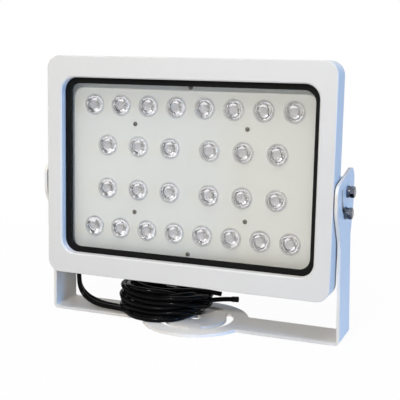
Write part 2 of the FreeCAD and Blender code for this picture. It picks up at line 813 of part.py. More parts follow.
def make_tilt_bolts(y, z):
    return group([tilt_bolt_solid(side, y, z) for side in (-1, 1)])


def washer(side, y, z, offset, diameter, thickness):
    start = (side * (bolt_face + offset), y, z)
    ring = cylinder(diameter, thickness, start, (side, 0, 0))
    return ring.cut(cylinder(tilt_bolt + 2 * screw_gap, thickness, start, (side, 0, 0)))


def tilt_places():
    return [(side, y, z) for side in (-1, 1) for y, z in ((pivot_depth, -pivot_drop), (lock_y, lock_z))]


def make_flat_washers():
    return group([washer(side, y, z, 0, washer_diameter, washer_sheet) for side, y, z in tilt_places()])


def make_spring_washers():
    """Split rings between the flat washers and the bolt heads."""
    solids = []
    for side, y, z in tilt_places():
        ring = washer(side, y, z, washer_sheet, spring_washer_diameter, spring_washer_sheet)
        near = side * (bolt_face + washer_sheet) - (spring_washer_sheet if side < 0 else 0)
        slit = box((spring_washer_sheet, spring_washer_slit, spring_washer_diameter),
                   (near, y - spring_washer_slit / 2, z))
        solids.append(ring.cut(slit))
    return group(solids)


# Leads

def lead_tube(points, name):
    """Round tube along straight runs that are joined by tangent arcs."""
    v = [Vector(*p) for p in points]
    edges = []
    radii = []
    at = v[0]
    for i in range(1, len(v) - 1):
        back = v[i - 1] - v[i]
        on = v[i + 1] - v[i]
        reach = 0.45 * min(back.Length, on.Length)
        turn = math.pi - back.getAngle(on)
        radius = reach / math.tan(turn / 2)
        radii.append(radius)
        back = back.normalize()
        on = on.normalize()
        start = v[i] + back * reach
        end = v[i] + on * reach
        bulge = radius / math.cos(turn / 2) - radius
        middle = v[i] + (back + on).normalize() * bulge
        edges.append(Part.LineSegment(at, start).toShape())
        edges.append(Part.Arc(start, middle, end).toShape())
        at = end
    edges.append(Part.LineSegment(at, v[-1]).toShape())
    path = Part.Wire(edges)
    profile = Part.Wire(Part.makeCircle(lead_diameter / 2, v[0], v[1] - v[0]))
    tube = path.makePipeShell([profile], True, True)
    expected = math.pi * lead_diameter ** 2 / 4 * path.Length
    print(name, "radii", [round(r, 1) for r in radii], "length", round(path.Length, 1),
          "volume share", round(tube.Volume / expected, 4))
    return tube


def make_coil():
    """Outer shape of the loose coil: a ring that stands tall on its left and flattens to its right."""
    bottom = sheet + coil_lift
    points = [(coil_inner, bottom, coil_edge), (coil_outer, bottom, coil_edge),
              (coil_outer, coil_left_top, coil_edge), (coil_inner, coil_left_top, coil_edge)]
    section = rounded_face(points, "z", 0.0)
    section.rotate(Vector(0, 0, 0), Vector(1, 0, 0), 90)
    ring = section.revolve(Vector(0, 0, 0), Vector(0, 0, 1), 360)
    slope = math.degrees(math.atan2(coil_left_top - coil_right_top, 2 * coil_outer))
    width = 3 * coil_outer
    over = box((2 * width, 2 * width, width), (-width, -width, (coil_left_top + coil_right_top) / 2))
    over.rotate(Vector(0, 0, (coil_left_top + coil_right_top) / 2), Vector(0, 1, 0), slope)
    ring = ring.cut(over)
    ring.translate(Vector(coil_centre[0], coil_centre[1], 0))
    return ring


def lead_start(sign):
    """Where a lead leaves the gland's seal, and the end of its straight drop from there."""
    x = gland_x + sign * lead_spacing[0]
    y = gland_depth - sign * lead_spacing[1]
    return [tuple(head_point(x, y, gland_low - drop)) for drop in (0, lead_drop)]


def make_sleeve():
    """Heat-shrink sleeve on the end of the power lead."""
    end = Vector(*power_tail[-1])
    way = (Vector(*power_tail[-2]) - end).normalize()
    tube = Part.makeCylinder(lead_diameter / 2 + sleeve_wall, sleeve_length, end, way)
    return tube.cut(Part.makeCylinder(lead_diameter / 2, sleeve_length + 2, end - way, way))


def save(name, shape):
    if not shape.isValid():
        print("not valid:", name)
    shape.exportStep(os.path.join("parts", name + ".step"))


def main():
    os.makedirs("parts", exist_ok=True)
    coil = make_coil()
    fixed = {
        "u_bracket": make_bracket(),
        "lead_coil": coil,
        "power_lead_run": lead_tube(lead_start(1) + power_run, "power_lead_run").cut(coil),
        "sync_lead_run": lead_tube(lead_start(-1) + sync_run, "sync_lead_run").cut(coil),
        "power_lead_tail": lead_tube(power_tail, "power_lead_tail").cut(coil),
        "sync_lead_tail": lead_tube(sync_tail, "sync_lead_tail").cut(coil),
        "lead_sleeve": make_sleeve(),
    }
    tilting = {
        "bezel": make_bezel(),
        "glass_gasket": make_gasket(),
        "front_glass": make_glass(),
        "glass_retainer": make_retainer(),
        "led_plate": make_led_plate(),
        "plate_screws": make_plate_screws(),
        "led_board": make_led_board(),
        "led_emitters": make_emitters(),
        "heat_spreader": make_heat_spreader(),
        "inner_screws": make_inner_screws(),
        "rear_housing": make_rear_housing(),
        "housing_seal": make_housing_seal(),
        "bezel_screws": make_bezel_screws(),
        "driver_board": make_driver_board(),
        "storage_capacitors": make_capacitors(),
        "power_transformer": make_transformer(),
        "terminal_block": make_terminal_block(),
        "gland_body": make_gland_body(),
        "gland_seal": make_gland_seal(),
        "gland_nut": make_gland_nut(),
        "pivot_bolts": make_tilt_bolts(pivot_depth, -pivot_drop),
        "lock_bolts": make_tilt_bolts(lock_y, lock_z),
        "flat_washers": make_flat_washers(),
        "spring_washers": make_spring_washers(),
    }
    for number, (x, z) in enumerate(lens_places(), 1):
        tilting["lens_%02d" % number] = make_lens(x, z)
    for name, shape in fixed.items():
        save(name, shape)
    for name, shape in tilting.items():
        save(name, place_head(shape))


main()
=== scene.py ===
import bpy
import bmesh
import math
import numpy as np
from mathutils import Matrix, Vector


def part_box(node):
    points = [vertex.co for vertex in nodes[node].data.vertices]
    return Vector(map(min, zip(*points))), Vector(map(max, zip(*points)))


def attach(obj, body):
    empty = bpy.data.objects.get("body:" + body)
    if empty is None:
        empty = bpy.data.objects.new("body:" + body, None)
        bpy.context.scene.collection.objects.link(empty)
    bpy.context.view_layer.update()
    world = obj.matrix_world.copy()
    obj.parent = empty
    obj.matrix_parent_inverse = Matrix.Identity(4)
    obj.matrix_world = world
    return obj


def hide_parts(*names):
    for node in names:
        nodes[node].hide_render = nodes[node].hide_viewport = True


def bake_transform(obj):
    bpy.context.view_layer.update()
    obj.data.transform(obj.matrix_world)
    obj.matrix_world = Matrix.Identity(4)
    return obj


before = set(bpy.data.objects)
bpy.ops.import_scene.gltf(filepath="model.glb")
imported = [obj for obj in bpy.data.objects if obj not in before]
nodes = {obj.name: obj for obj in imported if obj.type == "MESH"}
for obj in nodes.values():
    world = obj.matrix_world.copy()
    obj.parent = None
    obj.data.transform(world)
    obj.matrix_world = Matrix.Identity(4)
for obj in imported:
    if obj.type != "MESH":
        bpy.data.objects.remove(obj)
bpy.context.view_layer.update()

MM = 0.001
scene = bpy.context.scene

# The head's own frame at rest: x right, y depth behind the bezel's face, z up from its middle
REST_TILT = math.radians(-1.9)
PIVOT_HEIGHT = 0.1465          # above the base's underside
PIVOT_DEPTH = 0.038            # behind the bezel's face
PIVOT_DROP = 0.0108            # below the bezel's middle
HEAD = (Matrix.Translation((0, 0, PIVOT_HEIGHT)) @ Matrix.Rotation(REST_TILT, 4, "X")
        @ Matrix.Translation((0, -PIVOT_DEPTH, PIVOT_DROP)))


# ---------------------------------------------------------------- camera

# Solved from points read off the bezel and the bracket in the photo
CAMERA_PLACE = (0.334268, -0.818553, 0.292154)
CAMERA_RIGHT = (0.92683, 0.37542, 0.00739)
CAMERA_FORWARD = (-0.36776, 0.91154, -0.18400)
FOCAL_LENGTH = 79.93
SENSOR_WIDTH = 36.0


def make_camera():
    forward = Vector(CAMERA_FORWARD).normalized()
    right = Vector(CAMERA_RIGHT)
    right = (right - forward * right.dot(forward)).normalized()
    up = right.cross(forward)
    data = bpy.data.cameras.new("camera")
    data.lens = FOCAL_LENGTH
    data.sensor_width = SENSOR_WIDTH
    camera = bpy.data.objects.new("camera", data)
    turn = Matrix((right, up, -forward)).transposed().to_4x4()
    camera.matrix_world = Matrix.Translation(CAMERA_PLACE) @ turn
    scene.collection.objects.link(camera)
    scene.camera = camera


make_camera()


# ---------------------------------------------------------------- node materials

def add_node(tree, kind, inputs=None, **settings):
    """A new node with its settings and the values of its inputs."""
    made = tree.nodes.new(kind)
    for key, value in settings.items():
        setattr(made, key, value)
    for key, value in (inputs or {}).items():
        made.inputs[key].default_value = value
    return made


class Shade:
    """A Principled material with short calls for its procedural nodes."""

    def __init__(self, name, **values):
        self.material = bpy.data.materials.new(name)
        self.material.use_nodes = True
        self.tree = self.material.node_tree
        self.bsdf = self.tree.nodes["Principled BSDF"]
        for key, value in values.items():
            self.bsdf.inputs[key.replace("_", " ")].default_value = value
        self.place = self.node("ShaderNodeTexCoord").outputs["Object"]

    def node(self, kind, inputs=None, **settings):
        return add_node(self.tree, kind, inputs, **settings)

    def link(self, source, target):
        self.tree.links.new(source, target)

    def noise(self, scale, detail=3.0, stretch=None):
        """Noise over the object, drawn out along an axis where a stretch is given."""
        made = self.node("ShaderNodeTexNoise", {"Scale": scale, "Detail": detail})
        source = self.place
        if stretch:
            mapping = self.node("ShaderNodeMapping", {"Scale": stretch})
            self.link(source, mapping.inputs["Vector"])
            source = mapping.outputs["Vector"]
        self.link(source, made.inputs["Vector"])
        return made.outputs["Fac"]

    def colour(self, source, dark, light, low=0.3, high=0.7):
        """Base colour that goes from dark to light as the source goes from low to high."""
        made = self.node("ShaderNodeValToRGB")
        for stop, position, colour in zip(made.color_ramp.elements, (low, high), (dark, light)):
            stop.position = position
            stop.color = (*colour, 1)
        self.link(source, made.inputs["Fac"])
        self.link(made.outputs["Color"], self.bsdf.inputs["Base Color"])

    def rough(self, source, low, high):
        """Roughness that follows the source between two values."""
        made = self.node("ShaderNodeMapRange", {"To Min": low, "To Max": high})
        self.link(source, made.inputs["Value"])
        self.link(made.outputs["Result"], self.bsdf.inputs["Roughness"])

    def bump(self, source, distance, strength=1.0, edge=0.0):
        """Relief of the surface, and edges rounded to a radius where one is given."""
        made = self.node("ShaderNodeBump", {"Strength": strength, "Distance": distance})
        self.link(source, made.inputs["Height"])
        if edge:
            bevel = self.node("ShaderNodeBevel", {"Radius": edge}, samples=4)
            self.link(bevel.outputs["Normal"], made.inputs["Normal"])
        self.link(made.outputs["Normal"], self.bsdf.inputs["Normal"])


def powder_coat(name, light, dark, edge, grain=1400.0, depth=0.00003):
    """Powder paint: faint colour drift, orange-peel skin and slightly varied gloss."""
    s = Shade(name, Specular_IOR_Level=0.42)
    s.colour(s.noise(9.0, 4.0), dark, light)
    s.rough(s.noise(240.0, 2.0), 0.36, 0.5)
    s.bump(s.noise(grain, 2.0), depth, 0.55, edge)
    return s.material


def rubber(name, value, rough, grain):
    """Matt black rubber, a little blotchy."""
    s = Shade(name, Specular_IOR_Level=0.08)
    s.colour(s.noise(60.0, 4.0), (value * 0.8,) * 3, (value * 1.25,) * 3)
    s.rough(s.noise(grain, 3.0), rough - 0.08, rough + 0.08)
    s.bump(s.noise(grain * 2.0, 2.0), 0.00003, 0.5, 0.0003)
    return s.material


def brushed(name, dark, light, rough, stretch, metallic=1.0, edge=0.0002):
    """Bare metal with drawn or turned scratches along one direction."""
    s = Shade(name, Metallic=metallic)
    lines = s.noise(700.0, 4.0, stretch)
    s.colour(lines, dark, light)
    s.rough(s.noise(260.0, 3.0), rough - 0.07, rough + 0.09)
    s.bump(lines, 0.00001, 0.5, edge)
    return s.material


def moulded(name, dark, light, rough, grain=900.0, specular=0.45):
    """Moulded or extruded plastic with a fine grain."""
    s = Shade(name, Specular_IOR_Level=specular)
    s.colour(s.noise(35.0, 3.0), dark, light)
    s.rough(s.noise(grain * 0.4, 3.0), rough - 0.06, rough + 0.07)
    s.bump(s.noise(grain, 2.0), 0.00002, 0.4, 0.0003)
    return s.material


def circuit_board(name, mask, track):
    """Solder mask with faint wavy tracks under it."""
    s = Shade(name, Specular_IOR_Level=0.5)
    wave = s.node("ShaderNodeTexWave", {"Scale": 90.0, "Distortion": 3.0, "Detail": 1.0},
                  wave_type="BANDS", bands_direction="X")
    s.link(s.place, wave.inputs["Vector"])
    s.colour(wave.outputs["Fac"], mask, track, 0.42, 0.55)
    s.rough(s.noise(400.0, 2.0), 0.3, 0.42)
    s.bump(wave.outputs["Fac"], 0.00004, 0.5)
    return s.material


def clear(name, tint, rough, ior, transmission, alpha=1.0, wave=0.000004):
    """Clear glass or moulded acrylic with a trace of haze that varies over the surface."""
    s = Shade(name, Base_Color=(*tint, 1), IOR=ior, Transmission_Weight=transmission, Alpha=alpha)
    s.rough(s.noise(120.0, 3.0), rough, rough + 0.015)
    s.bump(s.noise(180.0, 2.0), wave, 0.3)
    return s.material


# paint
white_coat = powder_coat("white_powder_coat", (0.765, 0.763, 0.76), (0.735, 0.733, 0.73),
                         edge=0.0004)
# A lighter copy of the bezel's white paint: painted light that stands in for more light on the
# bracket's upward faces under the head
bracket_coat_painted_light = powder_coat("bracket_powder_coat_painted_light", (0.86, 0.85, 0.84), (0.82, 0.812, 0.80),
                           edge=0.0004)
cast_coat = powder_coat("cast_powder_coat", (0.75, 0.75, 0.752), (0.71, 0.712, 0.716),
                        edge=0.0006, grain=900.0, depth=0.00006)
panel_coat = powder_coat("panel_satin", (0.802, 0.814, 0.786), (0.772, 0.784, 0.759),
                         edge=0.0002, grain=2200.0, depth=0.00001)

# rubber and nylon
gasket_rubber = rubber("gasket_rubber", 0.006, rough=0.5, grain=500.0)
seal_rubber = rubber("seal_rubber", 0.018, rough=0.55, grain=500.0)
black_nylon = moulded("black_nylon", (0.012, 0.012, 0.013), (0.022, 0.022, 0.024), rough=0.42)

# metal
steel_zinc = brushed("zinc_steel", (0.36, 0.36, 0.37), (0.52, 0.52, 0.53),
                     rough=0.34, stretch=(1, 1, 6))
bolt_steel = brushed("bolt_steel", (0.03, 0.036, 0.05), (0.13, 0.14, 0.17),
                     rough=0.2, stretch=(1, 8, 8))
washer_steel = brushed("washer_steel", (0.06, 0.068, 0.085), (0.22, 0.23, 0.26),
                       rough=0.22, stretch=(1, 6, 6))
screw_dark = brushed("screw_dark", (0.09, 0.08, 0.065), (0.20, 0.18, 0.15),
                     rough=0.35, stretch=(5, 1, 5), metallic=0.6)
spreader_alloy = brushed("spreader_alloy", (0.55, 0.55, 0.56), (0.7, 0.7, 0.71),
                         rough=0.36, stretch=(1, 8, 8))

# circuit boards and what sits on them
board_white = circuit_board("emitter_board_mask", (0.86, 0.86, 0.85), (0.78, 0.79, 0.78))
board_green = circuit_board("driver_board_mask", (0.015, 0.09, 0.035), (0.03, 0.14, 0.05))
capacitor_sleeve = moulded("capacitor_sleeve", (0.02, 0.022, 0.03), (0.035, 0.038, 0.05),
                           rough=0.3)
winding_tape = moulded("winding_tape", (0.55, 0.36, 0.05), (0.7, 0.48, 0.09), rough=0.36)
terminal_green = moulded("terminal_green", (0.02, 0.16, 0.06), (0.03, 0.22, 0.08), rough=0.42)

# leads
lead_sheath = moulded("lead_sheath", (0.003, 0.003, 0.0035), (0.006, 0.006, 0.0065),
                      rough=0.13, grain=700.0, specular=0.062)
sleeve_shrink = moulded("sleeve_shrink", (0.004, 0.004, 0.0045), (0.008, 0.008, 0.009),
                        rough=0.45, grain=500.0, specular=0.12)

# glass and acrylic
glass_clear = clear("front_glass_clear", (0.45, 0.5, 0.5), 0.01,
                    ior=1.5, transmission=0.0, alpha=0.04)
lens_clear = clear("lens_acrylic", (1.0, 0.985, 1.0), 0.006,
                   ior=1.49, transmission=1.0, wave=0.00001)
# The flange: clear acrylic with a pale part-opaque share, painted light over the shade of the hole
# gap and the shadow beneath it
lens_rim_painted_light = clear("lens_rim_acrylic", (0.97, 0.955, 1.0), 0.02,
                 ior=1.49, transmission=0.0, alpha=0.2)
# The front's middle: clear acrylic with a pale diffuse share, painted light that stands in for the
# lit emitter seen through it
lens_eye_painted_light = clear("lens_eye_acrylic", (0.97, 0.95, 1.0), 0.01,
                 ior=1.49, transmission=0.4, alpha=0.5)

for name, material in (
        ("u_bracket", bracket_coat_painted_light), ("bezel", white_coat), ("rear_housing", cast_coat),
        ("led_plate", panel_coat), ("glass_gasket", gasket_rubber),
        ("housing_seal", seal_rubber), ("gland_seal", seal_rubber),
        ("gland_body", black_nylon), ("gland_nut", black_nylon),
        ("glass_retainer", steel_zinc), ("inner_screws", steel_zinc),
        ("flat_washers", washer_steel), ("spring_washers", washer_steel),
        ("heat_spreader", spreader_alloy), ("led_board", board_white),
        ("driver_board", board_green), ("storage_capacitors", capacitor_sleeve),
        ("power_transformer", winding_tape), ("terminal_block", terminal_green),
        ("front_glass", glass_clear)):
    nodes[name].data.materials.clear()
    nodes[name].data.materials.append(material)


# ---------------------------------------------------------------- mesh helpers

def new_object(name, data, material=None):
    if material:
        data.materials.append(material)
    made = bpy.data.objects.new(name, data)
    scene.collection.objects.link(made)
    return made


def evaluated_mesh(made):
    """An object's curve, or its mesh with modifiers applied, as a new mesh."""
    bpy.context.view_layer.update()
    depsgraph = bpy.context.evaluated_depsgraph_get()
    return bpy.data.meshes.new_from_object(made.evaluated_get(depsgraph))


def as_mesh(made, name):
    """The bmesh as a mesh. The bmesh is freed."""
    data = bpy.data.meshes.new(name)
    made.to_mesh(data)
    made.free()
    return data


def smooth(data, angle=35.0):
    """Smooth shading that keeps edges sharper than the angle."""
    data.shade_smooth()
    data.set_sharp_from_angle(angle=math.radians(angle))


def turned(name, profile, sides):
    """Mesh turned about the depth axis from (radius, depth) pairs."""
    made = bmesh.new()
    rings = []
    for radius, depth in profile:
        if radius == 0:
            rings.append([made.verts.new((0, depth * MM, 0))])
            continue
        ring = []
        for i in range(sides):
            a = 2 * math.pi * i / sides
            ring.append(made.verts.new((radius * math.cos(a) * MM, depth * MM,
                                        radius * math.sin(a) * MM)))
        rings.append(ring)
    for near, far in zip(rings, rings[1:]):
        for i in range(sides):
            j = (i + 1) % sides
            if len(near) == 1:
                made.faces.new((near[0], far[i], far[j]))
            elif len(far) == 1:
                made.faces.new((near[i], far[0], near[j]))
            else:
                made.faces.new((near[i], far[i], far[j], near[j]))
    bmesh.ops.recalc_face_normals(made, faces=made.faces)
    return as_mesh(made, name)


def skin(made, loops):
    """Walls from each loop of vertices to the next, and a face over both ends."""
    sides = len(loops[0])
    for near, far in zip(loops, loops[1:]):
        for k in range(sides):
            made.faces.new((near[k], near[(k + 1) % sides], far[(k + 1) % sides], far[k]))
    made.faces.new(list(reversed(loops[0])))
    made.faces.new(loops[-1])


def copies(name, source, places, material):
    """One mesh with a copy of the source at each matrix."""
    made = bmesh.new()
    for place in places:
        part = bmesh.new()
        part.from_mesh(source)
        bmesh.ops.transform(part, matrix=place, verts=part.verts)
        part_data = as_mesh(part, "part")
        made.from_mesh(part_data)
        bpy.data.meshes.remove(part_data)
    data = as_mesh(made, name)
    smooth(data)
    return new_object(name, data, material)


# ---------------------------------------------------------------- leads

LEAD = 5.0                     # diameter
REST_HEIGHT = 5.6              # middle line of a lead that lies on the bracket
TURNS = 6                      # of each lead in the coil
COIL_CENTRE = np.array((-46.0, 4.0))

# Middle lines from the gland to the coil, and from the coil to the free end
POWER_RUN = [(-135.45, -3.05, 36.34), (-135.45, -3.36, 27.04), (-133.0, -3.8, 18.2),
             (-126.6, -5.0, 11.0), (-116.5, -7.0, 7.3), (-105.0, -10.0, 5.9), (-92.5, -13.5, 5.7)]
SYNC_RUN = [(-138.15, 1.74, 36.2), (-138.15, 1.43, 26.9), (-135.6, 1.4, 18.6),
            (-127.9, 0.6, 11.6), (-116.4, -1.4, 7.9), (-103.6, -4.6, 6.3), (-91.1, -8.1, 6.1)]
POWER_TAIL = [(-52.0, -19.0, 28.5), (-28.0, -11.0, 25.0), (-4.0, 5.0, 22.0),
              (17.0, 18.5, 19.8), (36.0, 30.0, 17.9)]
SYNC_TAIL = [(-54.0, -9.0, 33.0), (-32.0, -2.0, 30.0), (-12.0, 8.5, 27.5),
             (4.0, 16.0, 25.8), (20.6, 22.0, 24.0)]
RUN_POINTS = 6                 # points of a run that are kept as they are
RUN_END = -100.0               # x beyond which a lead is free to settle

# Each strand's middle line in the order laid, the leads in turn: radius and height at the left,
# front, right and back, then how far it bulges out at the right rear
STRANDS = [
    (40.0, 5.6, 36.8, 5.6, 45.5, 5.6, 40.0, 5.6, 0.0),
    (33.0, 6.6, 31.4, 5.6, 40.0, 5.6, 35.0, 5.6, 12.0),
    (40.0, 17.5, 28.0, 6.4, 40.4, 11.2, 39.4, 11.2, 22.0),
    (35.2, 19.0, 22.8, 6.0, 35.0, 11.4, 33.6, 11.4, 26.0),
    (40.4, 25.0, 24.0, 11.4, 39.6, 15.2, 38.0, 16.0, 23.0),
    (32.0, 24.4, 13.6, 14.4, 33.4, 15.6, 32.0, 16.4, 20.0),
    (39.0, 28.6, 23.4, 17.0, 41.0, 18.8, 38.6, 21.2, 19.0),
    (32.4, 28.6, 15.0, 19.2, 36.0, 19.8, 32.6, 21.8, 22.0),
    (37.6, 31.0, 18.6, 23.6, 42.0, 21.4, 37.6, 26.0, 20.0),
    (32.0, 31.8, 12.4, 24.4, 37.0, 22.4, 31.8, 26.6, 22.0),
    (37.0, 32.4, 15.4, 28.4, 43.0, 23.6, 36.0, 29.0, 20.0),
    (31.4, 33.4, 9.0, 29.4, 38.0, 24.6, 30.0, 29.4, 20.0),
    (36.0, 32.0, 20.0, 28.0, 45.0, 22.0, 36.0, 24.0, 0.0),
    (31.0, 34.2, 14.0, 30.0, 45.0, 24.0, 36.0, 26.0, 0.0)]
FLAT_STRANDS = 2               # the first strands, which lie as they are written
LOOSENESS = 2.2                # how far the others stray from their places
POINT_ANGLE = 7.5              # degrees between the points of a turn
POWER_ENTRY, SYNC_ENTRY, EXIT = 212, 203, 200      # degrees where the leads join and leave it

# The bulge at the right rear: degrees round the coil's centre
BULGE_WIDTH = 22.0
BULGE_START, BULGE_END = 270, 140      # it runs through 0 between these
LOW_BULGE, HIGH_BULGE = 36, 20         # its middle
LOW_STRAND = 8.0               # height under which a strand has the low bulge

# How far from the coil's centre a strand may lie, as (degrees, radius): on the base and higher up
LOW_REACH = [(0, 46.5), (35, 50.5), (60, 46.0), (90, 40.6), (150, 40.6), (180, 40.6),
             (215, 36.5), (240, 36.0), (270, 37.6), (315, 43.5), (360, 46.5)]
HIGH_REACH = [(0, 53.0), (18, 64.5), (50, 47.0), (90, 40.6), (150, 40.6), (180, 40.6),
              (215, 36.5), (240, 36.0), (270, 37.6), (315, 43.0), (340, 46.5), (360, 53.0)]
REACH_HEIGHT = 6.0             # where the low reach starts to give way to the high one
REACH_RISE = 4.0               # and over how much height it does

# Settling
STEP = 4.0                     # spacing of the points
GAP = LEAD + 0.35              # distance that middle lines are pushed to
ROUNDS = 400
SAG_ROUNDS = 320               # rounds in which the strands sink
SAG = 0.012                    # in each of those rounds
SEARCH_ROUNDS = 10             # rounds between searches for points that are close
SEARCH_REACH = 5.0             # beyond the gap
PUSHES = 3                     # in a round
NEIGHBOURS = 8                 # points along a lead that don't push each other
OVERLAP_START = 0.85           # of the gap, under which the strand laid later is lifted over
OVERLAP_LIFT = 0.8
CROWDING = 0.6                 # damps a point that several others push
HELD_X, HELD_POINTS = -104, 40     # a lead's first points, as far as this x, don't move
LAID_AFTER = 0.012             # of its length, by which the sync lead is laid later
COIL_START, COIL_END = 16, 26      # points at a lead's two ends that the reach doesn't bound
TIP_POINTS = 14                # points at the free end that are drawn back to their places
TIP_PULL = 0.15
STIFFNESS = 0.09


def turn_rows():
    """The strands of each lead, a little uneven."""
    spread = np.random.RandomState(5)
    rows = [[], []]
    for s, strand in enumerate(STRANDS):
        loose = 0.0 if s < FLAT_STRANDS else LOOSENESS
        sides = [value + spread.uniform(-loose, loose) for value in strand[:8]]
        rows[s % 2].append(sides + [strand[8]])
    return rows


def coil_reach(at):
    """How far from the coil's centre each point may lie."""
    angle = np.degrees(np.arctan2(at[:, 1] - COIL_CENTRE[1], at[:, 0] - COIL_CENTRE[0])) % 360
    low = np.interp(angle, *zip(*LOW_REACH))
    high = np.interp(angle, *zip(*HIGH_REACH))
    return low + (high - low) * np.clip((at[:, 2] - REACH_HEIGHT) / REACH_RISE, 0, 1)


def coil_points(rows, start, end):
    """Points round the coil from one angle to another, eased between the rows' four sides."""
    keys = np.array([(180 + 90 * side + 360 * k, row[2 * side], row[2 * side + 1])
                     for k, row in enumerate(rows) for side in range(4)], float)
    points = []
    for angle in np.linspace(start, end, int(round((end - start) / POINT_ANGLE))):
        j = min(max(np.searchsorted(keys[:, 0], angle) - 1, 0), len(keys) - 2)
        t = min(max((angle - keys[j, 0]) / 90.0, 0.0), 1.0)
        t = t * t * (3 - 2 * t)
        radius, height = keys[j, 1:] * (1 - t) + keys[j + 1, 1:] * t
        bulge = rows[min(int((angle - 180) // 360), len(rows) - 1)][8]
        middle = LOW_BULGE if height < LOW_STRAND else HIGH_BULGE
        around = angle % 360
        if around < BULGE_END:
            radius += bulge * math.exp(-((around - middle) / BULGE_WIDTH) ** 2)
        elif around > BULGE_START:
            radius += bulge * math.exp(-((around - 360 - middle) / BULGE_WIDTH) ** 2)
        a = math.radians(angle)
        points.append((COIL_CENTRE[0] + radius * math.cos(a),
                       COIL_CENTRE[1] + radius * math.sin(a), height))
    return points


def even(points, step):
    """The same line with its points a step apart."""
    points = np.array(points, float)
    lengths = np.linalg.norm(np.diff(points, axis=0), axis=1)
    along = np.concatenate(([0.0], np.cumsum(lengths)))
    at = np.linspace(0, along[-1], max(2, int(round(along[-1] / step)) + 1))
    return np.stack([np.interp(at, along, points[:, i]) for i in range(3)], axis=1)


def push_apart(at, first, second, held, laid):
    """Moves the pairs of points that are closer than the gap, and says whether there were any."""
    between = at[first] - at[second]
    length = np.linalg.norm(between, axis=1)
    hit = length < GAP
    if not hit.any():
        return False
    i, j, between, length = first[hit], second[hit], between[hit], length[hit]
    overlap = np.clip(GAP * OVERLAP_START - length, 0, None)
    between[:, 2] += np.sign(laid[i] - laid[j]) * overlap * OVERLAP_LIFT
    reach = np.maximum(np.linalg.norm(between, axis=1), 1e-6)
    push = ((GAP - length) / reach)[:, None] * between
    free_i = (~held[i]).astype(float)[:, None]
    free_j = (~held[j]).astype(float)[:, None]
    share = np.maximum(free_i + free_j, 1)
    move = np.zeros_like(at)
    met = np.zeros(len(at))
    np.add.at(move, i, push * free_i / share)
    np.add.at(move, j, -push * free_j / share)
    np.add.at(met, i, 1.0)
    np.add.at(met, j, 1.0)
    at += move / np.maximum(1, met * CROWDING)[:, None]
    return True


def stiffen(at, chosen, held):
    """Evens out the bends along one lead."""
    for _ in range(2):
        line = at[chosen]
        move = np.zeros_like(line)
        move[2:-2] = -STIFFNESS * (line[:-4] - 4 * line[1:-3] + 6 * line[2:-2]
                                   - 4 * line[3:-1] + line[4:])
        move[held[chosen]] = 0
        at[chosen] = line + move


def settle(lines):
    """Lets the turns of both leads push each other apart and sag onto each other."""
    lines = [even(line, STEP) for line in lines]
    counts = [len(line) for line in lines]
    at = np.vstack(lines)
    aim = at.copy()
    owner = np.repeat([0, 1], counts)
    index = np.concatenate([np.arange(c) for c in counts])
    size = np.array(counts)[owner]
    held = (at[:, 0] < HELD_X) & (index < HELD_POINTS)
    tip = np.clip((index - (size - TIP_POINTS)) / TIP_POINTS, 0, 1) * TIP_PULL
    laid = index / size + owner * LAID_AFTER
    coil = (index > COIL_START) & (index < size - COIL_END)
    apart = ((owner[:, None] != owner[None])
             | (np.abs(index[:, None] - index[None]) >= NEIGHBOURS))
    for turn in range(ROUNDS):
        if turn % SEARCH_ROUNDS == 0:
            distance = np.linalg.norm(at[:, None] - at[None], axis=2)
            first, second = np.nonzero(np.triu(apart & (distance < GAP + SEARCH_REACH), 1))
        if turn < SAG_ROUNDS:
            at[~held, 2] -= SAG
        for _ in range(PUSHES):
            if not push_apart(at, first, second, held, laid):
                break
        out = at[:, :2] - COIL_CENTRE
        radius = np.linalg.norm(out, axis=1)
        limit = coil_reach(at)
        over = coil & (radius > limit)
        at[over, :2] = COIL_CENTRE + out[over] * (limit[over] / radius[over])[:, None]
        at += (aim - at) * tip[:, None]
        for lead in (0, 1):
            stiffen(at, owner == lead, held)
        at[~held, 2] = np.maximum(at[~held, 2], REST_HEIGHT)
    return [at[owner == lead] for lead in (0, 1)]


def spline_path(name, controls):
    """The smooth NURBS line of these control points, as points in metres."""
    curve = bpy.data.curves.new(name, "CURVE")
    curve.dimensions = "3D"
    curve.resolution_u = 5
    spline = curve.splines.new("NURBS")
    spline.points.add(len(controls) - 1)
    for point, control in zip(spline.points, controls):
        point.co = (*(Vector(control) * MM), 1.0)
    spline.order_u = 3
    spline.use_endpoint_u = True
    made = new_object(name, curve)
    data = evaluated_mesh(made)
    points = [v.co.copy() for v in data.vertices]
    bpy.data.objects.remove(made)
    bpy.data.meshes.remove(data)
    return points


def sweep(name, path, radii, sides, material):
    """Closed round tube along a path, with a radius for each of its points."""
    made = bmesh.new()
    last = len(path) - 1
    tangents = [(path[min(i + 1, last)] - path[max(i - 1, 0)]).normalized()
                for i in range(len(path))]
    side = tangents[0].orthogonal().normalized()
    loops = []
    for point, tangent, radius in zip(path, tangents, radii):
        side = (side - tangent * side.dot(tangent)).normalized()
        other = tangent.cross(side)
        loops.append([made.verts.new(point + (side * math.cos(2 * math.pi * k / sides)
                                              + other * math.sin(2 * math.pi * k / sides)) * radius)
                      for k in range(sides)])
    skin(made, loops)
    data = as_mesh(made, name)
    smooth(data, 50.0)
    return new_object(name, data, material)


def make_lead(name, controls):
    """A lead with its cut end rounded a little, and the points of its middle line."""
    path = spline_path(name + "_line", controls)
    radius = LEAD / 2 * MM
    rounded = 0.5 * MM
    last, way = path[-1], (path[-1] - path[-2]).normalized()
    body = path[:-1] + [last - way * rounded, last - way * rounded * 0.3, last]
    radii = [radius] * len(path) + [radius - rounded * 0.3, radius - rounded]
    return sweep(name, body, radii, 16, lead_sheath), path


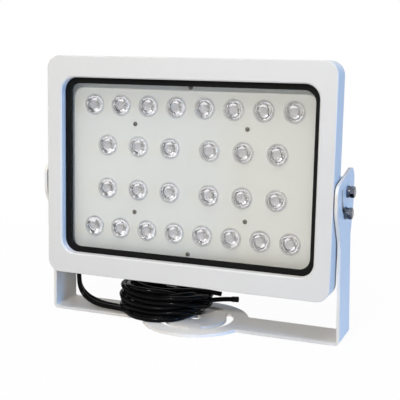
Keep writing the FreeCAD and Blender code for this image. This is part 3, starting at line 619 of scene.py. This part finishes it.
rows = turn_rows()
last_angle = 360 * TURNS + EXIT
settled = settle([POWER_RUN + coil_points(rows[0], POWER_ENTRY, last_angle) + POWER_TAIL,
                  SYNC_RUN + coil_points(rows[1], SYNC_ENTRY, last_angle) + SYNC_TAIL])
lead_ends = []
for name, run, line, swapped in (
        ("power_lead", POWER_RUN, settled[0], ("power_lead_run", "lead_coil", "power_lead_tail")),
        ("sync_lead", SYNC_RUN, settled[1], ("sync_lead_run", "lead_coil", "sync_lead_tail"))):
    # the run's own points, then one in three of the settled ones
    beyond = [tuple(p) for p in line if p[0] > RUN_END]
    controls = run[:RUN_POINTS] + beyond[1::3]
    if controls[-1] != tuple(line[-1]):
        controls.append(tuple(line[-1]))
    tube, path = make_lead(name, controls)
    length = sum((b - a).length for a, b in zip(path, path[1:]))
    lead_ends.append((tube, path, length))
    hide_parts(*swapped)


# ---------------------------------------------------------------- sleeve on the power lead's end

# Distance back from the lead's end, and thickness of the sleeve's wall there
SLEEVE = [(-0.4, 0.30), (-0.2, 0.52), (0.6, 0.56), (1.8, 0.50), (3.6, 0.44), (5.4, 0.47),
          (6.3, 0.42), (6.8, 0.24), (7.0, 0.02)]


def make_sleeve(path):
    """Heat-shrink sleeve with a soft rolled edge and a slight waist."""
    last, way = path[-1], (path[-1] - path[-2]).normalized()
    inner = LEAD / 2 * MM
    line = [last - way * (back * MM) for back, _ in reversed(SLEEVE)]
    radii = [inner + wall * MM for _, wall in reversed(SLEEVE)]
    return sweep("lead_sleeve_shrunk", line, radii, 24, sleeve_shrink)


sleeve = make_sleeve(lead_ends[0][1])
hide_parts("lead_sleeve")
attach(sleeve, "bracket")

for (tube, path, length), pieces in zip(lead_ends, ([sleeve], [])):
    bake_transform(tube)


# ---------------------------------------------------------------- lenses and emitters

# (radius, depth) from the front of the middle, round the flange, to the emitter's recess
LENS_PROFILE = [(0, 16.6), (2.4, 16.55), (3.6, 16.4), (4.1, 15.95), (4.4, 15.9), (7.9, 15.9),
                (8.2, 15.98), (8.38, 16.2), (8.5, 17.15), (8.65, 17.3), (10.5, 17.3),
                (10.7, 17.4), (10.75, 17.6), (10.75, 18.3), (10.6, 18.5), (8.9, 18.5),
                (8.65, 19.2), (8.2, 20.3), (7.55, 21.6), (6.75, 22.9), (5.85, 24.1),
                (4.9, 25.1), (4.2, 25.75), (3.9, 25.8), (2.95, 25.8), (2.75, 24.6),
                (2.5, 22.8), (2.2, 22.4), (1.2, 22.1), (0, 22.0)]
LENSES = 28
RIM_RADIUS, RIM_DEPTH = 8.0, 18.6      # the flange lies outside this radius, before this depth
EYE_RADIUS, EYE_DEPTH = 4.0, 16.6      # the front's middle lies within both
CONE_RADIUS, CONE_DEPTH = 4.0, 19.0    # the reflector lies outside this radius, past this depth
LOBES, LOBE_FLATTENING, LOBE_TURN = 3, 0.02, 1.2       # shallow lobes round the reflector


def make_lenses():
    """A collimator in place of each lens. Returns their middles in the head's own frame."""
    data = turned("lens_collimator", LENS_PROFILE, 48)
    smooth(data, 28.0)
    for vertex in data.vertices:
        spot = vertex.co
        if spot.y > CONE_DEPTH * MM and math.hypot(spot.x, spot.z) > CONE_RADIUS * MM:
            wave = math.cos(LOBES * math.atan2(spot.z, spot.x) + LOBE_TURN)
            flat = 1 - LOBE_FLATTENING * (1 + wave)
            vertex.co.x *= flat
            vertex.co.z *= flat
    for material in (lens_clear, lens_rim_painted_light, lens_eye_painted_light):
        data.materials.append(material)
    # Flange and middle faces get the part-opaque materials, whose pale share is painted light over
    # the shade behind them
    for face in data.polygons:
        radius = math.hypot(face.center.x, face.center.z)
        if radius > RIM_RADIUS * MM and face.center.y < RIM_DEPTH * MM:
            face.material_index = 1
        elif radius < EYE_RADIUS * MM and face.center.y < EYE_DEPTH * MM:
            face.material_index = 2
    to_head = HEAD.inverted()
    centres = []
    for number in range(1, LENSES + 1):
        name = "lens_%02d" % number
        low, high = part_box(name)
        centre = to_head @ ((low + high) / 2)
        centres.append((centre.x, centre.z))
        lens = new_object("collimator_%02d" % number, data)
        lens.matrix_world = HEAD @ Matrix.Translation((centre.x, 0, centre.z))
        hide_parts(name)
        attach(lens, "head")
    return centres


EMITTER_SIDE, EMITTER_THICKNESS, EMITTER_DEPTH, EMITTER_EDGE = 5.0, 0.8, 27.9, 0.12
DOME_PROFILE = [(0, 25.85), (0.7, 25.93), (1.25, 26.2), (1.62, 26.6), (1.75, 27.05),
                (1.78, 27.4), (2.0, 27.45), (2.0, 27.52)]


def make_emitters(centres):
    """Ceramic base and pale phosphor dome of each emitter."""
    ceramic = moulded("emitter_ceramic", (0.74, 0.74, 0.72), (0.84, 0.84, 0.82), rough=0.35)
    phosphor = Shade("emitter_phosphor", Specular_IOR_Level=0.5, Coat_Weight=0.6,
                     Coat_Roughness=0.08)
    phosphor.colour(phosphor.noise(900.0, 3.0), (0.74, 0.72, 0.63), (0.84, 0.82, 0.74))
    phosphor.rough(phosphor.noise(500.0, 2.0), 0.3, 0.4)
    places = [HEAD @ Matrix.Translation((x, 0, z)) for x, z in centres]
    block = bmesh.new()
    bmesh.ops.create_cube(block, size=1.0)
    bmesh.ops.scale(block, vec=(EMITTER_SIDE * MM, EMITTER_THICKNESS * MM, EMITTER_SIDE * MM),
                    verts=block.verts)
    bmesh.ops.translate(block, vec=(0, EMITTER_DEPTH * MM, 0), verts=block.verts)
    bmesh.ops.bevel(block, geom=list(block.edges), offset=EMITTER_EDGE * MM, segments=2,
                    affect="EDGES")
    base = as_mesh(block, "emitter_base")
    dome = turned("emitter_dome", DOME_PROFILE, 24)
    bases = copies("emitter_bases", base, places, ceramic)
    domes = copies("emitter_domes", dome, places, phosphor.material)
    for made in (bases, domes):
        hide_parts("led_emitters")
        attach(made, "head")


make_emitters(make_lenses())


# ---------------------------------------------------------------- screws and bolts

PANEL_SEAT = 18.5              # depth of the panel's face
FLANGE_SEAT = 30.0             # depth of the back of the housing's flange
SCREW_TURN = 1.1               # radians from one screw's recess to the next one's
# (radius, depth) of a pan head, in parts of its radius and height
PAN_PROFILE = [(0, -1), (0.35, -0.99), (0.62, -0.92), (0.84, -0.74), (0.96, -0.45), (1, -0.2),
               (1, 0), (0, 0)]


def cross_screw(name, radius, height, recess, arm, depth):
    """Pan head with a cross recess, seat at depth 0 and the head towards -depth.

    recess and arm are the length and width of the cross's slots, and depth how far they go in."""
    made = new_object(name, turned(name, [(out * radius, up * height) for out, up in PAN_PROFILE],
                                   40))
    cutter = bmesh.new()
    for width, span in ((arm, recess), (recess, arm)):
        for v in bmesh.ops.create_cube(cutter, size=1.0)["verts"]:
            taper = 0.55 if v.co.y > 0 else 1.0        # narrower at its bottom
            v.co = Vector((v.co.x * width * taper, v.co.y * 2 * depth - height,
                           v.co.z * span * taper)) * MM
    tool = new_object(name + "_recess", as_mesh(cutter, name + "_recess"))
    cut = made.modifiers.new("recess", "BOOLEAN")
    cut.operation = "DIFFERENCE"
    cut.object = tool
    cut.solver = "EXACT"
    cut.use_self = True
    data = evaluated_mesh(made)
    bpy.data.objects.remove(tool)
    bpy.data.objects.remove(made)
    return data


def seats(places, depth, turn=None):
    """A matrix for the screw at each (x, z), each turned about its axis by another angle."""
    return [HEAD @ Matrix.Translation((x * MM, depth * MM, z * MM))
            @ (turn or Matrix.Identity(4)) @ Matrix.Rotation(i * SCREW_TURN, 4, "Y")
            for i, (x, z) in enumerate(places)]


# between the rows of lenses, then along the panel's sides, bottom and top
panel_places = [(x, z) for x in (-59.4, 59.4) for z in (-44.8, 44.8)]
panel_places += [(x, z) for x in (-132.7, 132.7) for z in (-71.2, 0.0, 71.2)]
panel_places += [(0.0, -82.8), (0.0, 82.8)]
small_screw = cross_screw("panel_screw", radius=2.3, height=1.2, recess=2.4, arm=0.55, depth=0.75)
panel_screws = copies("panel_screws_cross", small_screw, seats(panel_places, PANEL_SEAT),
                      screw_dark)
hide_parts("plate_screws")
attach(panel_screws, "head")

flange_places = [((i - 2) * 56.0, z) for i in range(5) for z in (-102.5, 102.5)]
large_screw = cross_screw("housing_screw", radius=3.5, height=2.6, recess=4.0, arm=0.95, depth=1.5)
facing_back = Matrix.Rotation(math.pi, 4, "Z")
housing_screws = copies("housing_screws_cross", large_screw,
                        seats(flange_places, FLANGE_SEAT, facing_back), steel_zinc)
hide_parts("bezel_screws")
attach(housing_screws, "head")


def hex_bolt(name):
    """M6 hexagon head with a washer face and chamfered corners, seat at x 0, towards +x."""
    sides = 48
    height = 4.0
    flat = 5.0                 # from the middle to a flat
    crown = flat * 0.95        # radius of the top's round face
    washer = 4.6               # radius of the washer face
    slope = math.tan(math.radians(28))

    def hexagon(angle):
        return flat / math.cos((angle + math.pi / 6) % (math.pi / 3) - math.pi / 6)

    made = bmesh.new()
    loops = []
    for radius_at, height_at in (
            (lambda a: washer, lambda a: 0.0),                      # washer face
            (lambda a: washer, lambda a: 0.25),
            (hexagon, lambda a: 0.28),                              # flats and corners
            (hexagon, lambda a: height - (hexagon(a) - crown) * slope - 0.02),
            (lambda a: crown, lambda a: height),                    # top
            (lambda a: crown * 0.55, lambda a: height),
            (lambda a: crown * 0.45, lambda a: 3.93)):              # shallow dish in it
        loop = []
        for i in range(sides):
            a = 2 * math.pi * i / sides
            r = radius_at(a)
            loop.append(made.verts.new((height_at(a) * MM, r * math.cos(a) * MM,
                                        r * math.sin(a) * MM)))
        loops.append(loop)
    skin(made, loops)
    bmesh.ops.recalc_face_normals(made, faces=made.faces)
    return as_mesh(made, name)


bolt_head = hex_bolt("bolt_head")
BOLT_SEAT = 157.5              # from the middle of the lamp out to the bolt heads
BOLT_TURN = 7                  # degrees, one way at the right and the other at the left
for name, node, depth, height in (("pivot_hex_bolts", "pivot_bolts", 38.0, -10.8),
                                  ("lock_hex_bolts", "lock_bolts", 31.631, -30.286)):
    places = []
    for side, turn in ((1, 0.0), (-1, math.pi)):
        places.append(HEAD @ Matrix.Translation((side * BOLT_SEAT * MM, depth * MM, height * MM))
                      @ Matrix.Rotation(turn, 4, "Z")
                      @ Matrix.Rotation(math.radians(90 + BOLT_TURN * side), 4, "X"))
    bolts = copies(name, bolt_head, places, bolt_steel)
    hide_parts(node)
    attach(bolts, "head")


# ---------------------------------------------------------------- floor, light and world

WHITE = (1, 1, 1, 1)
FLOOR_REACH = 4.0
FLOOR_HEIGHT = -0.0003         # just under the base


def background_ray(tree):
    """1 for what the camera sees, directly or by gloss or through glass, and 0 for other rays."""
    path = add_node(tree, "ShaderNodeLightPath")
    seen = path.outputs["Is Camera Ray"]
    for ray in ("Is Glossy Ray", "Is Transmission Ray"):
        either = add_node(tree, "ShaderNodeMath", operation="MAXIMUM")
        tree.links.new(seen, either.inputs[0])
        tree.links.new(path.outputs[ray], either.inputs[1])
        seen = either.outputs[0]
    return seen


def end_with_mix(tree, share, plain, white, output):
    """Ends a node tree with the white shader over the plain one, by the share."""
    mix = add_node(tree, "ShaderNodeMixShader")
    tree.links.new(share, mix.inputs["Fac"])
    tree.links.new(plain.outputs[0], mix.inputs[1])
    tree.links.new(white.outputs[0], mix.inputs[2])
    tree.links.new(mix.outputs[0], add_node(tree, output).inputs["Surface"])


def make_floor():
    """Pale floor that looks white, with a trace of the object's shadow close to it."""
    data = bpy.data.meshes.new("floor")
    corners = [(-1, -1), (1, -1), (1, 1), (-1, 1)]
    data.from_pydata([(x * FLOOR_REACH, y * FLOOR_REACH, FLOOR_HEIGHT) for x, y in corners],
                     [], [(0, 1, 2, 3)])
    material = bpy.data.materials.new("floor_white")
    material.use_nodes = True
    tree = material.node_tree
    tree.nodes.clear()
    where = add_node(tree, "ShaderNodeTexCoord")
    distance = add_node(tree, "ShaderNodeVectorMath", operation="LENGTH")
    tree.links.new(where.outputs["Object"], distance.inputs[0])
    fade = add_node(tree, "ShaderNodeMapRange",
                    {"From Min": 0.15, "From Max": 0.7, "To Min": 0.97, "To Max": 1.0})
    tree.links.new(distance.outputs["Value"], fade.inputs["Value"])
    share = add_node(tree, "ShaderNodeMath", operation="MULTIPLY")
    tree.links.new(background_ray(tree), share.inputs[0])
    tree.links.new(fade.outputs["Result"], share.inputs[1])
    diffuse = add_node(tree, "ShaderNodeBsdfDiffuse", {"Color": (0.82, 0.82, 0.82, 1)})
    glow = add_node(tree, "ShaderNodeEmission", {"Color": WHITE, "Strength": 1.0})
    end_with_mix(tree, share.outputs[0], diffuse, glow, "ShaderNodeOutputMaterial")
    new_object("floor", data, material)


def make_world():
    """White where it is seen, and a faint even light on the object."""
    world = bpy.data.worlds.new("studio")
    scene.world = world
    world.use_nodes = True
    tree = world.node_tree
    tree.nodes.clear()
    white = add_node(tree, "ShaderNodeBackground", {"Color": WHITE, "Strength": 1.0})
    ambient = add_node(tree, "ShaderNodeBackground",
                       {"Color": (1.0, 0.985, 0.96, 1), "Strength": 0.06})
    end_with_mix(tree, background_ray(tree), ambient, white, "ShaderNodeOutputWorld")


def area_light(name, place, target, width, height, power, colour):
    """Rectangular lamp that faces the target."""
    data = bpy.data.lights.new(name, "AREA")
    data.shape = "RECTANGLE"
    data.size = width
    data.size_y = height
    data.energy = power
    data.color = colour
    made = new_object(name, data)
    made.location = place
    made.rotation_euler = (Vector(target) - Vector(place)).to_track_quat("-Z", "Y").to_euler()


make_floor()
make_world()
area_light("key", (0.0, -1.72, 1.05), target=(0, 0, 0.15),
           width=0.12, height=0.12, power=16.5, colour=(1.0, 0.95, 0.865))
area_light("overhead", (0.0, -0.7, 2.1), target=(0, 0, 0.1),
           width=1.2, height=1.2, power=24.5, colour=(1.0, 0.97, 0.93))
area_light("window", (3.3, -0.56, 0.62), target=(0, -0.03, 0.12),
           width=0.3, height=1.0, power=61.0, colour=(0.14, 0.455, 1.0))
scene.view_settings.view_transform = "Standard"
